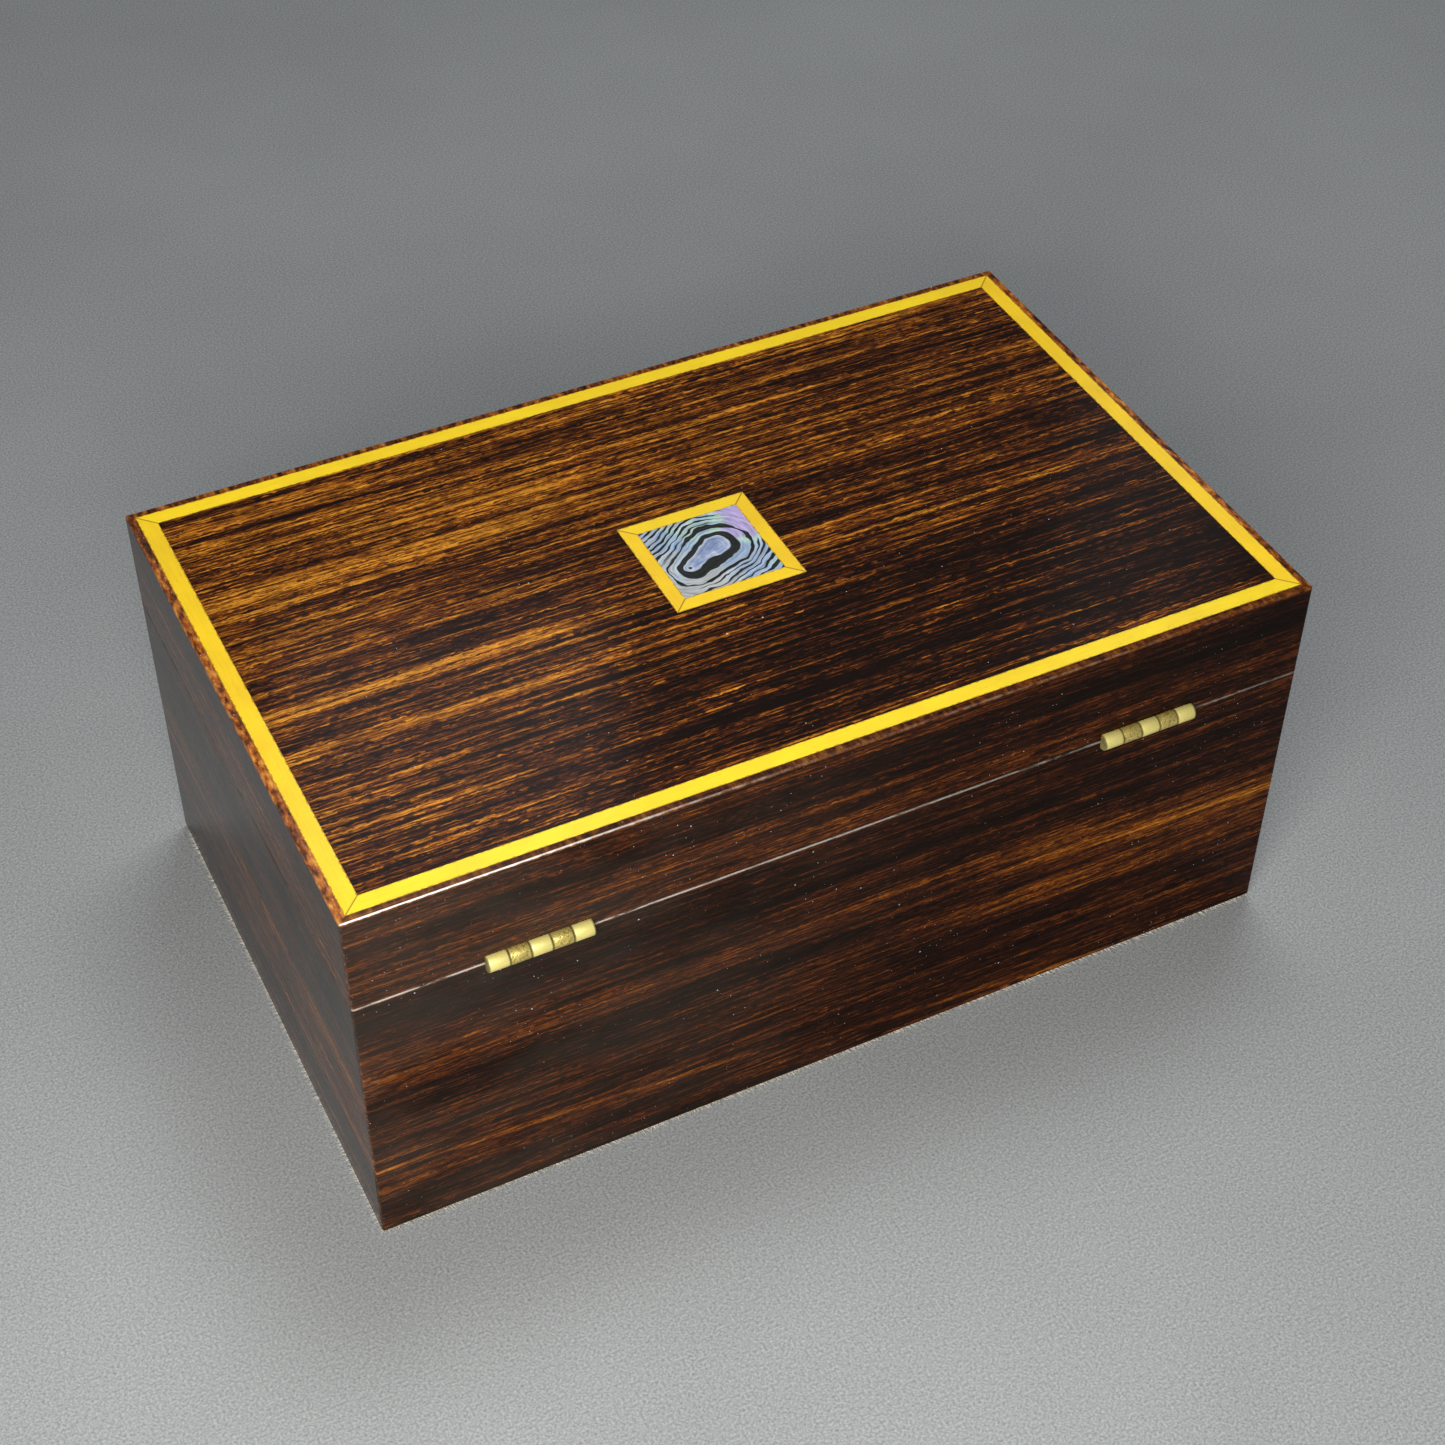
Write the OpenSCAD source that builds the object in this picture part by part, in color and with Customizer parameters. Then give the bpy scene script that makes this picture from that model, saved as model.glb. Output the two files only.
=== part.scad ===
// Hinged wooden puzzle box: sawn-off lid with inlays, sliding front panel and hidden lock bar.
// Front is -Y, hinges on +Y, up is +Z. The origin is on the floor under the middle of the box.

/* [Box] */
// Outside length, along X
box_l = 222; // [180:1:280]
// Outside depth from front to back, along Y
box_w = 136; // [110:1:180]
// Overall height, felt included
box_h = 97.5; // [88:0.5:130]
// Height of the seam between body and lid
seam_z = 73; // [55:0.5:80]
// Hairline gap at the seam
seam_gap = 0.3; // [0.2:0.05:0.6]
// Rounding of the lid's top edges
edge_r = 0.5; // [0.3:0.1:1.2]
// Rounding of the upright corners, not the same as the top edges
corner_r = 0.8; // [0.4:0.1:2]
// Rounding of the two edges along the seam and of the bottom edge
arris_r = 0.25; // [0.1:0.05:0.5]

/* [Boards] */
// Thickness of the back, the ends and the lid's rails
wall_t = 7; // [5.8:0.1:9]
// How much thicker than that the fixed board behind the sliding front panel is
core_extra = 1; // [0.5:0.1:3]
// Thickness of the bottom board
bottom_t = 6; // [4:0.5:10]
// Width of the rabbet that takes the bottom board
rabbet_w = 3.5; // [2:0.5:4.5]

/* [Felt and lining] */
// Thickness of the felt under the base
felt_t = 1; // [0.5:0.1:3]
// How far the felt stops short of the outside faces
felt_inset = 0.5; // [0.2:0.1:5]
// Thickness of the lining on the floor and under the lid
lining_t = 1.5; // [0.8:0.1:3]
// Gap between a lining's edge and the boards
lining_gap = 0.3; // [0.1:0.1:1]

/* [Lid] */
// Thickness of the board that carries the veneer
lid_panel_t = 6; // [4:0.5:9]
// Thickness of the tongue round that board
tongue_t = 3; // [2:0.5:3.5]
// Length of the tongue
tongue_l = 3; // [2:0.5:4]
// Thickness of the veneer and of all the inlays
inlay_t = 1.5; // [0.8:0.1:2.5]
// Width of the rail's edge that shows outside the stringing
border_w = 1.9; // [1.2:0.1:3]
// How far the veneer laps onto the rails inside the stringing
veneer_lap = 1.1; // [0.3:0.1:1.5]
// Outside of the square frame at the middle of the lid
centre_w = 31; // [24:0.5:44]
// Width of that frame's strips
centre_strip_w = 3.5; // [2:0.1:6]

/* [Sliding front panel] */
// Thickness of the panel
panel_t = 3.5; // [2.5:0.1:4.2]
// Gap behind the panel
panel_gap = 0.15; // [0.1:0.05:0.3]
// Gap in the mitre at the panel's right edge
mitre_gap = 0.2; // [0.1:0.05:0.4]
// Gap under the panel, from the bottom of the boards
panel_lift = 0.3; // [0.2:0.1:1]
// How far the panel slides
panel_travel = 22; // [20:1:26]
// Height of the runner's middle
runner_z = 33; // [25:1:40]
// Width of the runner at the panel
runner_neck = 6; // [4:0.5:10]
// Width of the runner at its back
runner_base = 9; // [6:0.5:14]
// Depth of the runner
runner_d = 4; // [3:0.5:5]
// Gap round the runner in its groove
runner_gap = 0.15; // [0.1:0.05:0.3]
// Distance from the right end of the box to the end of the groove
groove_stop_in = 15; // [10:1:30]
// Radius of the two magnets
magnet_r = 3; // [2:0.5:4]
// Thickness of each magnet
magnet_t = 2; // [1:0.5:2]
// Radial gap round a magnet in its recess
magnet_gap = 0.05; // [0.02:0.01:0.2]
// Height of the magnets
magnet_z = 14; // [10:1:20]
// Distance from the left end of the box to the magnets
magnet_in = 40; // [20:1:60]

/* [Lock] */
// Height of the lock bar's section
bar_h = 4; // [3:0.5:6]
// Depth of the bar's top edge below the seam
bar_drop = 8.5; // [6:0.5:12]
// Gap between the hook and the bar's end when the bar is drawn back
bar_tip_gap = 0.75; // [0.5:0.05:1.5]
// Gap round the bar in its channel
bar_gap = 0.15; // [0.1:0.05:0.3]
// Radius of the dimple for a fingernail
dimple_r = 1.2; // [0.8:0.1:1.5]
// Depth of the dimple
dimple_d = 1; // [0.5:0.1:1.5]
// Distance from the bar's right end to the dimple
dimple_in = 2.8; // [2:0.1:4]
// Width of the hook along X
hook_w = 8; // [6:0.5:12]
// Thickness of the hook's leg
hook_t = 1.5; // [1:0.1:2]
// Thickness of the hook's foot
foot_t = 1.8; // [1.2:0.1:2.5]
// Gap between the hook and what it passes
hook_play = 0.4; // [0.3:0.05:0.8]
// Gap above the foot when the bar is shut
foot_gap = 0.6; // [0.3:0.1:1]
// How far the leg reaches up the lid's front rail
leg_rise = 14; // [10:0.5:15]

/* [Hinges] */
// Length of a hinge
hinge_l = 23; // [20:0.1:38]
// Distance from each end of the box to the hinge's middle
hinge_in = 39.5; // [25:0.5:60]
// Radius of the barrel
knuckle_r = 1.9; // [1.6:0.05:2.4]
// How far the hinge's axis stands out of the back
axis_out = 0.3; // [0.2:0.05:1.5]
// Number of knuckles, an odd number
knuckles = 5; // [3:2:7]
// Gap between knuckles
knuckle_gap = 0.1; // [0.05:0.05:0.3]
// Gap round the barrel in the hollow that it is let into
barrel_gap = 0.15; // [0.1:0.05:0.3]
// Radius of the hinge pin
pin_r = 0.9; // [0.7:0.05:1.1]
// Radial play of the pin in the lid's knuckles
pin_play = 0.05; // [0.02:0.01:0.1]
// Radial gap of the pin in the body's knuckles
pin_grip = 0.01; // [0.005:0.005:0.02]
// Thickness of a leaf
leaf_t = 1; // [0.8:0.1:1.4]
// Wood left between a leaf and the inside face of its board
leaf_margin = 1; // [0.5:0.1:1]
// Gap round a leaf in its mortise
leaf_gap = 0.05; // [0.02:0.01:0.2]

/* [Screws] */
// Radius of a screw's shank
screw_r = 0.7; // [0.5:0.05:0.9]
// Radius of a screw's countersunk head
head_r = 1.4; // [1.1:0.05:1.5]
// Height of the countersunk head
head_h = 0.8; // [0.5:0.05:0.8]
// Length of a hinge screw
hinge_screw_l = 7; // [5:0.5:10]
// Length of a hook screw
hook_screw_l = 5; // [4:0.5:6]
// Radial gap round a screw
screw_gap = 0.03; // [0.01:0.01:0.1]
// Distance of a hinge screw from the middle of its leaf
hinge_screw_dx = 8; // [6:0.5:12]
// Distance between the two hook screws
hook_screw_pitch = 7; // [6:0.5:8]
// Width of the slot in a screw's head
slot_w = 0.45; // [0.3:0.05:0.6]

/* [Hidden] */
$fn = 48;
over = 1;

wood = "#4a2a16";
pale_wood = "#b98c5a";
yellow = "#ffd81e";
brass = "#d8b45c";
steel = "#b8bcc0";
shell = "#9fb4c0";
felt = "#7d7f80";
velvet = "#5a1220";

half_l = box_l / 2;
half_w = box_w / 2;
body_top = seam_z - seam_gap / 2;
lid_bottom = seam_z + seam_gap / 2;
inlay_z = box_h - inlay_t;
lid_panel_z = inlay_z - lid_panel_t;
tongue_z = lid_panel_z + (lid_panel_t - tongue_t) / 2;
stringing_w = wall_t - border_w - veneer_lap;
floor_z = felt_t + bottom_t;

panel_back_y = -half_w + panel_t;
core_front_y = panel_back_y + panel_gap;
core_back_y = core_front_y + wall_t + core_extra;
left_mitre_y = core_front_y + wall_t;
rail_back_y = -half_w + wall_t;
groove_stop_x = half_l - groove_stop_in;
runner_left_x = -half_l + runner_d + panel_gap + runner_gap + panel_travel;
runner_right_x = groove_stop_x - runner_gap;
magnet_x = -half_l + magnet_in;

axis_y = half_w + axis_out;
leaf_back_y = half_w - wall_t + leaf_margin;
leaf_edge_y = axis_y - knuckle_r - barrel_gap;
hinge_x = half_l - hinge_in;
knuckle_pitch = hinge_l / knuckles;
screw_y = (leaf_back_y + leaf_edge_y) / 2;

bar_top = seam_z - bar_drop;
bar_z = bar_top - bar_h;
bar_front_y = core_front_y + bar_gap;
bar_back_y = rail_back_y - hook_play;
pocket_side = hook_w / 2 + hook_play;
bar_left_x = hook_w / 2 + bar_tip_gap;
bar_right_x = half_l - wall_t - bar_gap;
dimple_x = bar_right_x - dimple_in;
foot_z = bar_z - foot_gap - foot_t;
// The foot moves forward by this much as the lid swings it up out of its pocket
foot_swing = pow(seam_z - foot_z, 2) / (2 * (axis_y + half_w - panel_t));
foot_y = panel_back_y + foot_swing + hook_play / 2;
leg_top = lid_bottom + leg_rise;
hook_screw_z = lid_bottom + leg_rise / 2;

// What is outside a rounded edge whose corner is at the origin
module arris_profile(r) {
    difference() {
        translate([-over, -over]) square(r + over);
        translate([r, r]) circle(r);
    }
}

module edge_cut(l, w, z, up, r) {
    translate([0, -w / 2, z])
        rotate([up ? -90 : 0, 0, 0])
            rotate([90, 0, 90])
                linear_extrude(l + 2 * over, center = true) arris_profile(r);
}

// Rounds the four outside edges at height z, from above when up is true
module rim_cut(z, up, r) {
    for (turn = [0, 180]) rotate([0, 0, turn]) edge_cut(box_l, box_w, z, up, r);
    for (turn = [90, 270]) rotate([0, 0, turn]) edge_cut(box_w, box_l, z, up, r);
}

// Rounds the four upright corners
module corner_cut(z0, z1) {
    corners = [[-1, -1], [1, -1], [1, 1], [-1, 1]];
    for (i = [0:3])
        translate([corners[i][0] * half_l, corners[i][1] * half_w, z0 - over])
            rotate([0, 0, 90 * i])
                linear_extrude(z1 - z0 + 2 * over) arris_profile(corner_r);
}

module body_edges() {
    corner_cut(felt_t, body_top);
    rim_cut(body_top, true, arris_r);
    rim_cut(felt_t, false, arris_r);
}

module lid_edges() {
    corner_cut(lid_bottom, box_h);
    rim_cut(box_h, true, edge_r);
    rim_cut(lid_bottom, false, arris_r);
}

// Plan of one mitred strip of an l by w frame: the front one, or the right one when side is true
module strip_plan(l, w, t, side) {
    if (side) polygon([[l / 2, -w / 2], [l / 2, w / 2], [l / 2 - t, w / 2 - t], [l / 2 - t, t - w / 2]]);
    else polygon([[-l / 2, -w / 2], [l / 2, -w / 2], [l / 2 - t, t - w / 2], [t - l / 2, t - w / 2]]);
}

module strip(l, w, t, side, z, h) {
    translate([0, 0, z]) linear_extrude(h) strip_plan(l, w, t, side);
}

// A block centred on the Z axis, from z up
module centred_block(l, w, z, h) {
    translate([-l / 2, -w / 2, z]) cube([l, w, h]);
}

module plan_board(points) {
    translate([0, 0, felt_t]) linear_extrude(body_top - felt_t) polygon(points);
}

// Space of the bottom board, wall to wall
module bottom_space(h) {
    translate([-half_l + wall_t - rabbet_w, core_back_y - rabbet_w, felt_t])
        cube([box_l - 2 * (wall_t - rabbet_w), half_w - wall_t - core_back_y + 2 * rabbet_w, h]);
}

// ---- body ----

module rear_wall() {
    color(wood) difference() {
        rotate([0, 0, 180]) strip(box_l, box_w, wall_t, false, felt_t, body_top - felt_t);
        body_edges();
        bottom_space(bottom_t);
        for (side = [-1, 1]) hinge_space(side, body_top - leaf_t);
        hinge_screw_holes(body_top, 180);
    }
}

module right_wall() {
    color(wood) difference() {
        strip(box_l, box_w, wall_t, true, felt_t, body_top - felt_t);
        body_edges();
        bottom_space(bottom_t);
    }
}

module left_wall() {
    color(wood) difference() {
        plan_board([
            [-half_l, half_w], [-half_l, core_front_y],
            [wall_t - half_l, left_mitre_y], [wall_t - half_l, half_w - wall_t]
        ]);
        body_edges();
        bottom_space(bottom_t);
    }
}

module front_core() {
    mitre = panel_t + panel_gap;
    color(wood) difference() {
        plan_board([
            [-half_l, core_front_y], [half_l - mitre, core_front_y],
            [half_l - wall_t, rail_back_y], [half_l - wall_t, core_back_y],
            [wall_t - half_l, core_back_y], [wall_t - half_l, left_mitre_y]
        ]);
        body_edges();
        bottom_space(bottom_t);
        runner_groove();
        bar_channel();
        hook_pocket();
        magnet_recess(core_front_y);
    }
}

module bottom_panel() {
    color(pale_wood) bottom_space(bottom_t);
}

module base_felt() {
    color(felt)
        translate([felt_inset - half_l, core_front_y + felt_inset, 0])
            cube([box_l - 2 * felt_inset, half_w - core_front_y - 2 * felt_inset, felt_t]);
}

module floor_lining() {
    color(velvet)
        translate([wall_t + lining_gap - half_l, core_back_y + lining_gap, floor_z])
            cube([box_l - 2 * (wall_t + lining_gap), half_w - wall_t - core_back_y - 2 * lining_gap, lining_t]);
}

// ---- sliding front panel ----

// Section of the dovetail runner, in depth behind the panel and height, grown by gap
module runner_profile(gap, front) {
    flare = (runner_base - runner_neck) / 2 / runner_d;
    near = runner_neck / 2 + gap - front * flare;
    far = runner_base / 2 + gap + gap * flare;
    polygon([
        [panel_back_y - front, runner_z - near], [panel_back_y + runner_d + gap, runner_z - far],
        [panel_back_y + runner_d + gap, runner_z + far], [panel_back_y - front, runner_z + near]
    ]);
}

module runner_groove() {
    translate([-half_l - over, 0, 0])
        rotate([90, 0, 90])
            linear_extrude(groove_stop_x + half_l + over) runner_profile(runner_gap, over);
}

module magnet_recess(y) {
    translate([magnet_x, y, magnet_z]) rotate([-90, 0, 0]) cylinder(r = magnet_r + magnet_gap, h = magnet_t);
}

module magnet(y) {
    color(steel) translate([magnet_x, y, magnet_z]) rotate([-90, 0, 0]) cylinder(r = magnet_r, h = magnet_t);
}

module key_panel() {
    color(wood) difference() {
        translate([0, 0, felt_t + panel_lift])
            linear_extrude(body_top - felt_t - panel_lift)
                polygon([
                    [-half_l, -half_w], [half_l - mitre_gap, -half_w],
                    [half_l - mitre_gap - panel_t, panel_back_y], [-half_l, panel_back_y]
                ]);
        body_edges();
        magnet_recess(panel_back_y - magnet_t);
    }
}

module panel_runner() {
    color(pale_wood)
        translate([runner_left_x, 0, 0])
            rotate([90, 0, 90]) linear_extrude(runner_right_x - runner_left_x) runner_profile(0, 0);
}

module panel_magnet() {
    magnet(panel_back_y - magnet_t);
}

module wall_magnet() {
    magnet(core_front_y);
}

// ---- lock ----

module bar_channel() {
    translate([-pocket_side, core_front_y - over, bar_z - bar_gap])
        cube([box_l, over + bar_back_y - core_front_y + bar_gap, bar_h + 2 * bar_gap]);
}

module hook_pocket() {
    translate([-pocket_side, core_front_y - over, foot_z - foot_gap])
        cube([2 * pocket_side, over + rail_back_y - core_front_y + hook_t + hook_play, seam_z]);
}

module lock_bar() {
    color(brass) difference() {
        translate([bar_left_x, bar_front_y, bar_z])
            cube([bar_right_x - bar_left_x, bar_back_y - bar_front_y, bar_h]);
        translate([dimple_x, bar_front_y - over, bar_z + bar_h / 2])
            rotate([-90, 0, 0]) cylinder(r = dimple_r, h = over + dimple_d);
    }
}

module strike_hook() {
    color(brass) difference() {
        union() {
            translate([-hook_w / 2, rail_back_y, foot_z]) cube([hook_w, hook_t, leg_top - foot_z]);
            translate([-hook_w / 2, foot_y, foot_z]) cube([hook_w, rail_back_y + hook_t - foot_y, foot_t]);
        }
        hook_screw_places() screw_space(hook_screw_l);
    }
}

module hook_screws() {
    color(brass) hook_screw_places() screw(hook_screw_l);
}

// Puts a screw's head on the hook's leg, pointing into the rail
module hook_screw_places() {
    for (dz = [-0.5, 0.5])
        translate([0, rail_back_y + hook_t, hook_screw_z + dz * hook_screw_pitch])
            rotate([90, 0, 0]) children();
}

// ---- screws, with the head's face at z = 0 and the shank upwards ----

module screw_body(gap, l) {
    cylinder(r1 = head_r + gap, r2 = screw_r + gap, h = head_h);
    cylinder(r = screw_r + gap, h = l);
}

module screw(l) {
    difference() {
        screw_body(0, l);
        cube([2 * head_r + over, slot_w, head_h], center = true);
    }
}

module screw_space(l) {
    screw_body(screw_gap, l);
}

// Puts a screw's head on each leaf's face at height z, turned by flip
module hinge_screw_places(z, flip) {
    for (side = [-1, 1], dx = [-1, 1])
        translate([side * hinge_x + dx * hinge_screw_dx, screw_y, z])
            rotate([flip, 0, 0]) children();
}

module hinge_screw_holes(z, flip) {
    hinge_screw_places(z, flip) screw_space(hinge_screw_l);
}

// ---- hinges ----

// A cylinder on a hinge's axis
module barrel(side, r, l) {
    translate([side * hinge_x, axis_y, seam_z]) rotate([0, 90, 0]) cylinder(r = r, h = l, center = true);
}

// What a hinge takes out of one board: the leaf's mortise and its half of the barrel's hollow
module hinge_space(side, z) {
    l = hinge_l + 2 * leaf_gap;
    translate([side * hinge_x - l / 2, leaf_back_y - leaf_gap, z])
        cube([l, axis_y - leaf_back_y + leaf_gap, leaf_t]);
    barrel(side, knuckle_r + barrel_gap, l);
}

// One leaf: a plate with its top or bottom at z, and every second knuckle from first
module leaf(side, z, first, bore) {
    color(brass) difference() {
        union() {
            translate([side * hinge_x - hinge_l / 2, leaf_back_y, z])
                cube([hinge_l, leaf_edge_y - leaf_back_y, leaf_t]);
            for (i = [first:2:knuckles - 1]) knuckle(side, z, i);
        }
        barrel(side, bore, hinge_l + 2 * over);
        hinge_screw_holes(z < seam_z ? body_top : lid_bottom, z < seam_z ? 180 : 0);
    }
}

module knuckle(side, z, i) {
    x0 = side * hinge_x - hinge_l / 2 + i * knuckle_pitch + (i > 0 ? knuckle_gap / 2 : 0);
    x1 = side * hinge_x - hinge_l / 2 + (i + 1) * knuckle_pitch - (i < knuckles - 1 ? knuckle_gap / 2 : 0);
    translate([x0, axis_y, seam_z]) rotate([0, 90, 0]) cylinder(r = knuckle_r, h = x1 - x0);
    translate([x0, leaf_edge_y - over, z]) cube([x1 - x0, axis_y - leaf_edge_y + over, leaf_t]);
}

module body_leaf(side) {
    leaf(side, body_top - leaf_t, 0, pin_r + pin_grip);
}

module lid_leaf(side) {
    leaf(side, lid_bottom, 1, pin_r + pin_play);
}

module hinge_pin(side) {
    color(brass) barrel(side, pin_r, hinge_l);
}

module right_body_leaf() { body_leaf(1); }
module left_body_leaf() { body_leaf(-1); }
module right_lid_leaf() { lid_leaf(1); }
module left_lid_leaf() { lid_leaf(-1); }
module right_hinge_pin() { hinge_pin(1); }
module left_hinge_pin() { hinge_pin(-1); }

module body_hinge_screws() {
    color(brass) hinge_screw_places(body_top, 180) screw(hinge_screw_l);
}

module lid_hinge_screws() {
    color(brass) hinge_screw_places(lid_bottom, 0) screw(hinge_screw_l);
}

// ---- lid ----

// Everything that is cut from every rail
module lid_cuts() {
    lid_edges();
    centred_block(box_l - 2 * border_w, box_w - 2 * border_w, inlay_z, inlay_t + over);
    centred_block(box_l - 2 * (wall_t - tongue_l), box_w - 2 * (wall_t - tongue_l), tongue_z, tongue_t);
}

// One rail before its own cuts, turned round the Z axis
module rail(side, turn) {
    difference() {
        rotate([0, 0, turn]) strip(box_l, box_w, wall_t, side, lid_bottom, box_h - lid_bottom);
        lid_cuts();
    }
}

module lid_front_rail() {
    color(wood) difference() {
        rail(false, 0);
        hook_screw_places() screw_space(hook_screw_l);
    }
}

module lid_rear_rail() {
    color(wood) difference() {
        rail(false, 180);
        for (side = [-1, 1]) hinge_space(side, lid_bottom);
        hinge_screw_holes(lid_bottom, 0);
    }
}

module lid_right_rail() { color(wood) rail(true, 0); }
module lid_left_rail() { color(wood) rail(true, 180); }

module lid_panel() {
    color(pale_wood) {
        centred_block(box_l - 2 * wall_t, box_w - 2 * wall_t, lid_panel_z, lid_panel_t);
        centred_block(box_l - 2 * (wall_t - tongue_l), box_w - 2 * (wall_t - tongue_l), tongue_z, tongue_t);
    }
}

module lid_lining() {
    edge = wall_t + lining_gap;
    color(velvet) centred_block(box_l - 2 * edge, box_w - 2 * edge, lid_panel_z - lining_t, lining_t);
}

module top_veneer() {
    edge = border_w + stringing_w;
    color(wood) difference() {
        centred_block(box_l - 2 * edge, box_w - 2 * edge, inlay_z, inlay_t);
        centred_block(centre_w, centre_w, inlay_z - over, inlay_t + 2 * over);
    }
}

module stringing(side, turn) {
    color(yellow)
        rotate([0, 0, turn])
            strip(box_l - 2 * border_w, box_w - 2 * border_w, stringing_w, side, inlay_z, inlay_t);
}

module frame_strip(side, turn) {
    color(yellow)
        rotate([0, 0, turn]) strip(centre_w, centre_w, centre_strip_w, side, inlay_z, inlay_t);
}

module front_stringing() { stringing(false, 0); }
module rear_stringing() { stringing(false, 180); }
module right_stringing() { stringing(true, 0); }
module left_stringing() { stringing(true, 180); }
module front_frame_strip() { frame_strip(false, 0); }
module rear_frame_strip() { frame_strip(false, 180); }
module right_frame_strip() { frame_strip(true, 0); }
module left_frame_strip() { frame_strip(true, 180); }

module shell_inlay() {
    inner = centre_w - 2 * centre_strip_w;
    color(shell) centred_block(inner, inner, inlay_z, inlay_t);
}

rear_wall();
right_wall();
left_wall();
front_core();
bottom_panel();
base_felt();
floor_lining();
right_body_leaf();
left_body_leaf();
right_hinge_pin();
left_hinge_pin();
body_hinge_screws();
wall_magnet();
key_panel();
panel_runner();
panel_magnet();
lock_bar();
lid_front_rail();
lid_rear_rail();
lid_left_rail();
lid_right_rail();
lid_panel();
lid_lining();
top_veneer();
front_stringing();
rear_stringing();
left_stringing();
right_stringing();
front_frame_strip();
rear_frame_strip();
left_frame_strip();
right_frame_strip();
shell_inlay();
strike_hook();
hook_screws();
right_lid_leaf();
left_lid_leaf();
lid_hinge_screws();
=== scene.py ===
import math
import random

import bpy
from bpy.props import FloatProperty, FloatVectorProperty, PointerProperty
from mathutils import Matrix, Vector


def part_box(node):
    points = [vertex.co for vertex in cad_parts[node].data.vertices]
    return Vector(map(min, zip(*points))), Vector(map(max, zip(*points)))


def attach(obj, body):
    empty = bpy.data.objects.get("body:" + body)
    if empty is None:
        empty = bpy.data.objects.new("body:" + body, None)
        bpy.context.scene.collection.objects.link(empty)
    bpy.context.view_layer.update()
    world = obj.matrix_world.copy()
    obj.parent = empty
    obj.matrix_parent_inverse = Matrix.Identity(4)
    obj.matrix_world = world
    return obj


bl_info = {
    "name": "Puzzle Box Finishes",
    "version": (1, 0, 0),
    "blender": (4, 5, 0),
    "location": "View3D > Sidebar > Puzzle Box",
    "description": "Lacquered striped wood, stringing, shell, brass and felt for a puzzle box",
    "category": "Object",
}

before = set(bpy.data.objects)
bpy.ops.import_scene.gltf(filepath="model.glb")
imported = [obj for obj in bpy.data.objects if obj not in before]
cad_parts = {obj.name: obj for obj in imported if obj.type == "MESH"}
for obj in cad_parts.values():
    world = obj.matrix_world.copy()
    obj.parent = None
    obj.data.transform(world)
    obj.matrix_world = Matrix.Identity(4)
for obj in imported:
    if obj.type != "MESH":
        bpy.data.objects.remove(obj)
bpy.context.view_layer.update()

MM = 0.001

# Dust, worn edges and glue on the finished surfaces, a grey film that is partly dust and partly a
# painted reflection, and painted highlight lines
DUST_ON_WOOD = "#cfccc6"
DUST_ON_YELLOW = "#e9dfc0"
DUST_ON_BRASS = "#d8d2c4"
RUBBED_EDGE = "#8a7460"
# Painted highlight: white line on the back's top edge and along its seam
RUBBED_LINE = "#e6e0d6"
# Grey film: partly dust, partly a painted reflection of the floor, stronger toward the right end
HAZE = "#7d7468"
GLUE_LINE = "#6b3a0a"


# ---- sizes taken from the frame ----

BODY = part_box("rear_wall")
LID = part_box("lid_rear_rail")
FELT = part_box("base_felt")
END_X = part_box("right_wall")[1][0]
BACK_Y = BODY[1][1]
TOP_Z = LID[1][2]
SEAM_Z = (BODY[1][2] + LID[0][2]) / 2
HALF_SEAM = (LID[0][2] - BODY[1][2]) / 2 / MM


def linear(code):
    """Scene colour of a hex code."""
    parts = [int(code[i : i + 2], 16) / 255 for i in (1, 3, 5)]
    return tuple(c / 12.92 if c <= 0.04045 else ((c + 0.055) / 1.055) ** 2.4 for c in parts)


def colour_prop(name, description, code):
    return FloatVectorProperty(
        name=name, description=description, default=linear(code),
        subtype="COLOR", size=3, min=0, max=1,
    )


def length_prop(name, description, metres):
    return FloatProperty(name=name, description=description, default=metres, unit="LENGTH", min=0)


def share_prop(name, description, share):
    return FloatProperty(
        name=name, description=description, default=share, subtype="FACTOR", min=0, max=1
    )


def power_prop(name, description, watts):
    return FloatProperty(name=name, description=description, default=watts, unit="POWER")


# ---- properties ----


class WoodSettings(bpy.types.PropertyGroup):
    """Colours and lacquer of the striped wood"""

    black: colour_prop("Black lines", "Darkest stripes of the wood", "#100602")
    dark: colour_prop("Dark wood", "Ground colour between the stripes", "#2e1206")
    middle: colour_prop("Middle wood", "Brown of the broad stripes", "#5c2c0b")
    gold: colour_prop("Golden wood", "Colour of the light streaks", "#97560f")
    pale: colour_prop("Palest wood", "Lightest lines in the streaks", "#cb8726")
    bare: colour_prop("Bare wood", "Plain wood of the hidden boards", "#b98a58")
    lacquer: share_prop("Lacquer", "Strength of the lacquer's reflections", 0.55)
    lacquer_roughness: share_prop("Lacquer roughness", "Blur of the lacquer's reflections", 0.13)


class TrimSettings(bpy.types.PropertyGroup):
    """Colours of the stringing, the shell and the brass"""

    front_strip: colour_prop("Front strip", "Stringing along the front edge", "#f9d414")
    rear_strip: colour_prop("Rear strip", "Stringing along the back edge", "#f4d214")
    left_strip: colour_prop("Left strip", "Stringing along the left end", "#f8cc14")
    right_strip: colour_prop("Right strip", "Stringing along the right end", "#f2c816")
    front_frame: colour_prop("Front frame strip", "Shell frame, front strip", "#f2cc1c")
    rear_frame: colour_prop("Rear frame strip", "Shell frame, rear strip", "#f3cb18")
    left_frame: colour_prop("Left frame strip", "Shell frame, left strip", "#f1c61a")
    right_frame: colour_prop("Right frame strip", "Shell frame, right strip", "#f0c41c")
    brass: colour_prop("Brass", "Polished brass", "#faea90")
    worn_brass: colour_prop("Worn brass", "Brass that has lost its polish", "#efd67a")


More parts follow.
